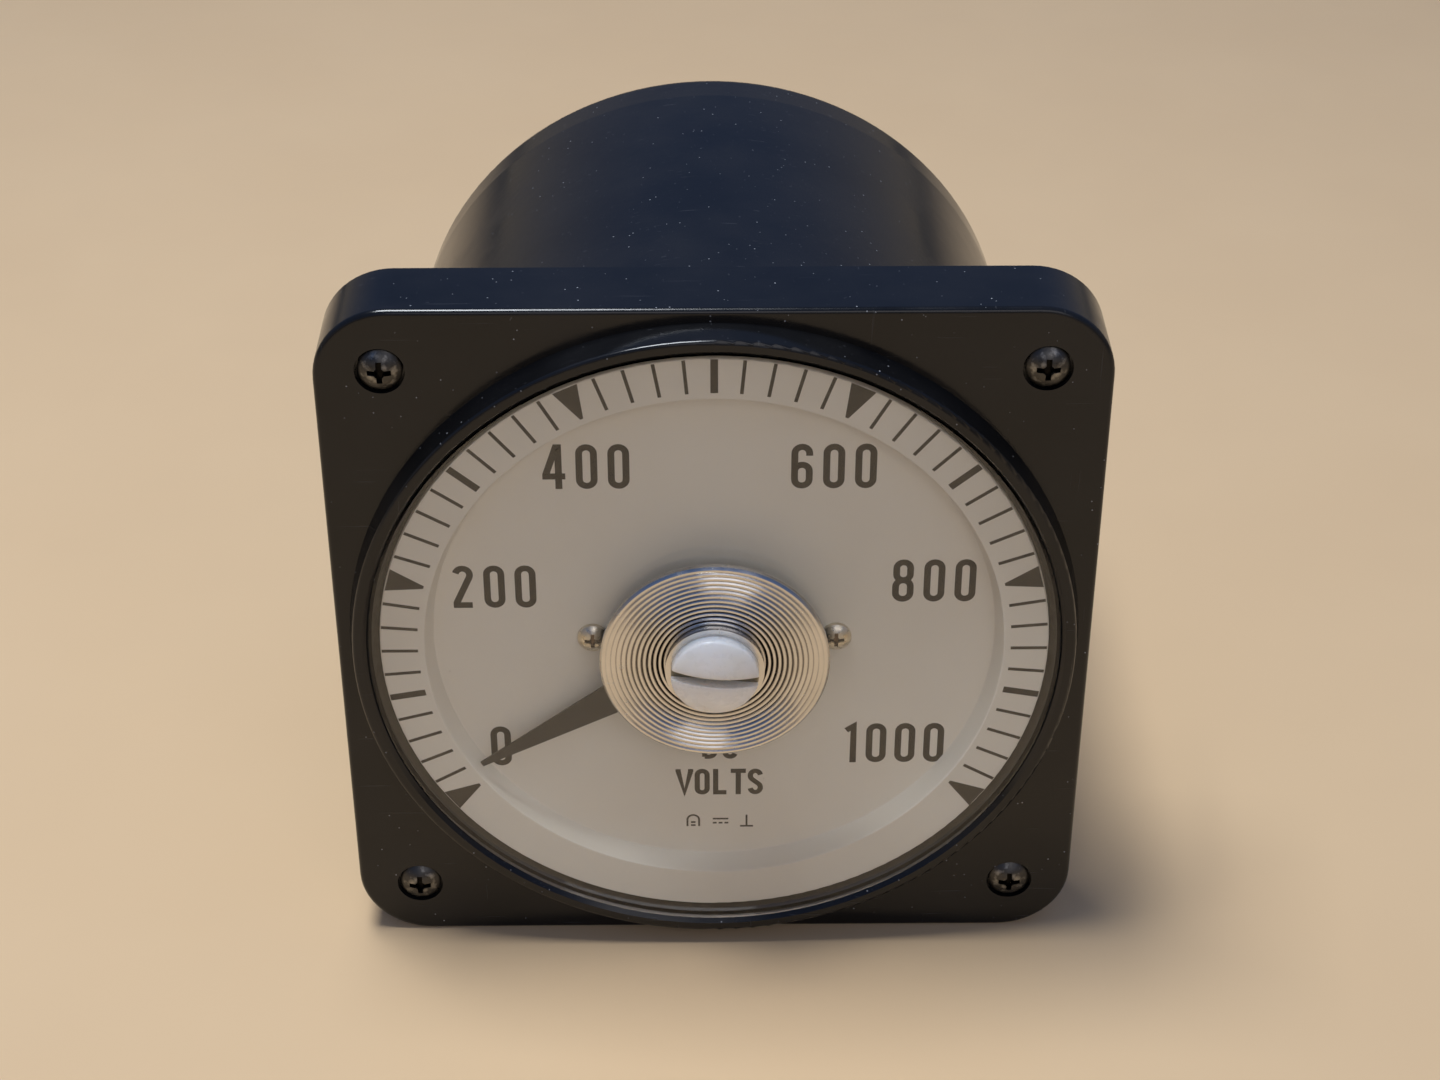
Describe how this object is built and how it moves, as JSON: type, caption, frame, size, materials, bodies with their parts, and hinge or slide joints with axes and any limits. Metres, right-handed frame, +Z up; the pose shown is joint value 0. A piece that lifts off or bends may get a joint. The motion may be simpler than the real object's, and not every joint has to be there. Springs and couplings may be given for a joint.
{
  "type": "panel voltmeter",
  "caption": "Square-faced direct-current panel voltmeter: round window, dished dial with a 250 degree scale, lance pointer, centre zero adjuster and a deep round case.",
  "frame": {"origin": "centre of the mounting plane, at the back face of the flange", "axes": "+Z up, +X to the reader's right, +Y into the panel along the barrel; the dial faces -Y"},
  "size_m": [0.1102, 0.1202, 0.1102],
  "materials": {
    "black_moulding": "glossy black phenolic moulding",
    "black_trim": "satin",
    "clear_window": "clear moulded plastic",
    "black_rubber": "matte",
    "white_nylon": "smooth",
    "blackened_steel": "black oxide",
    "steel": "zinc plated",
    "brass": "turned",
    "dial_paint": "matt white enamel on aluminium",
    "aluminium": "plain sheet",
    "pointer_black": "matt black paint on aluminium",
    "soft_iron": "ground",
    "magnet_alloy": "cast",
    "copper_wire": "enamelled",
    "sapphire": "polished",
    "laminate": "paper laminate",
    "resistor_body": "lacquered",
    "wire_cover": "insulation"
  },
  "bodies": {
    "housing": {"front_cover": "black_moulding", "case": "black_moulding", "window": "clear_window", "hub_disc": "aluminium", "window_gasket": "black_rubber", "window_retainer": "black_trim", "cover_gasket": "black_rubber", "adjuster_oring": "black_rubber", "cover_screws": "blackened_steel", "screw_inserts": "brass", "mounting_studs": "steel", "dial_plate": "dial_paint", "dial_screws": "brass", "dial_support": "aluminium", "pillar_screws": "steel", "support_pillars": "brass", "movement_plate": "aluminium", "movement_screws": "steel", "pole_ring": "soft_iron", "pole_spacers": "brass", "pole_screws": "steel", "magnet": "magnet_alloy", "core_ring": "soft_iron", "front_bridge": "brass", "rear_clamp": "brass", "clamp_screws": "brass", "front_jewel_screw": "brass", "rear_jewel_screw": "brass", "jewels": "sapphire", "jewel_lock_nuts": "brass", "rear_hairspring": "brass", "rear_spring_anchor": "brass", "travel_stops": "brass", "resistor_board": "laminate", "multiplier_resistors": "resistor_body", "resistor_leads": "steel", "board_screws": "steel", "terminal_studs": "brass", "solder_lugs": "brass", "terminal_washers": "brass", "terminal_nuts": "brass", "hookup_leads": "wire_cover"},
    "moving_coil": {"coil_winding": "copper_wire", "coil_former": "aluminium", "front_staff": "aluminium", "rear_staff": "aluminium", "pointer": "pointer_black", "balance_weights": "brass"},
    "adjuster": {"zero_adjuster": "white_nylon", "adjuster_crank": "white_nylon"},
    "zero_lever": {"zero_arm": "brass", "front_hairspring": "brass"}
  },
  "joints": [
    {"name": "pointer_swing", "type": "hinge", "parent": "housing", "child": "moving_coil", "pos_m": [0, 0, 0], "axis": [0, 1, 0], "range_deg": [-6.5, 250.5], "stiffness_Nm_per_rad": 0.00001},
    {"name": "adjuster_turn", "type": "hinge", "parent": "housing", "child": "adjuster", "pos_m": [0, -0.0155, 0], "axis": [0, 1, 0], "range_deg": [-30, 30]},
    {"name": "zero_arm_turn", "type": "hinge", "parent": "housing", "child": "zero_lever", "pos_m": [0, -0.0124, 0], "axis": [0, 1, 0], "range_deg": [-30, 30]}
  ],
  "couplings": [
    {"joint": "zero_arm_turn", "follows": "adjuster_turn", "ratio": 1}
  ]
}
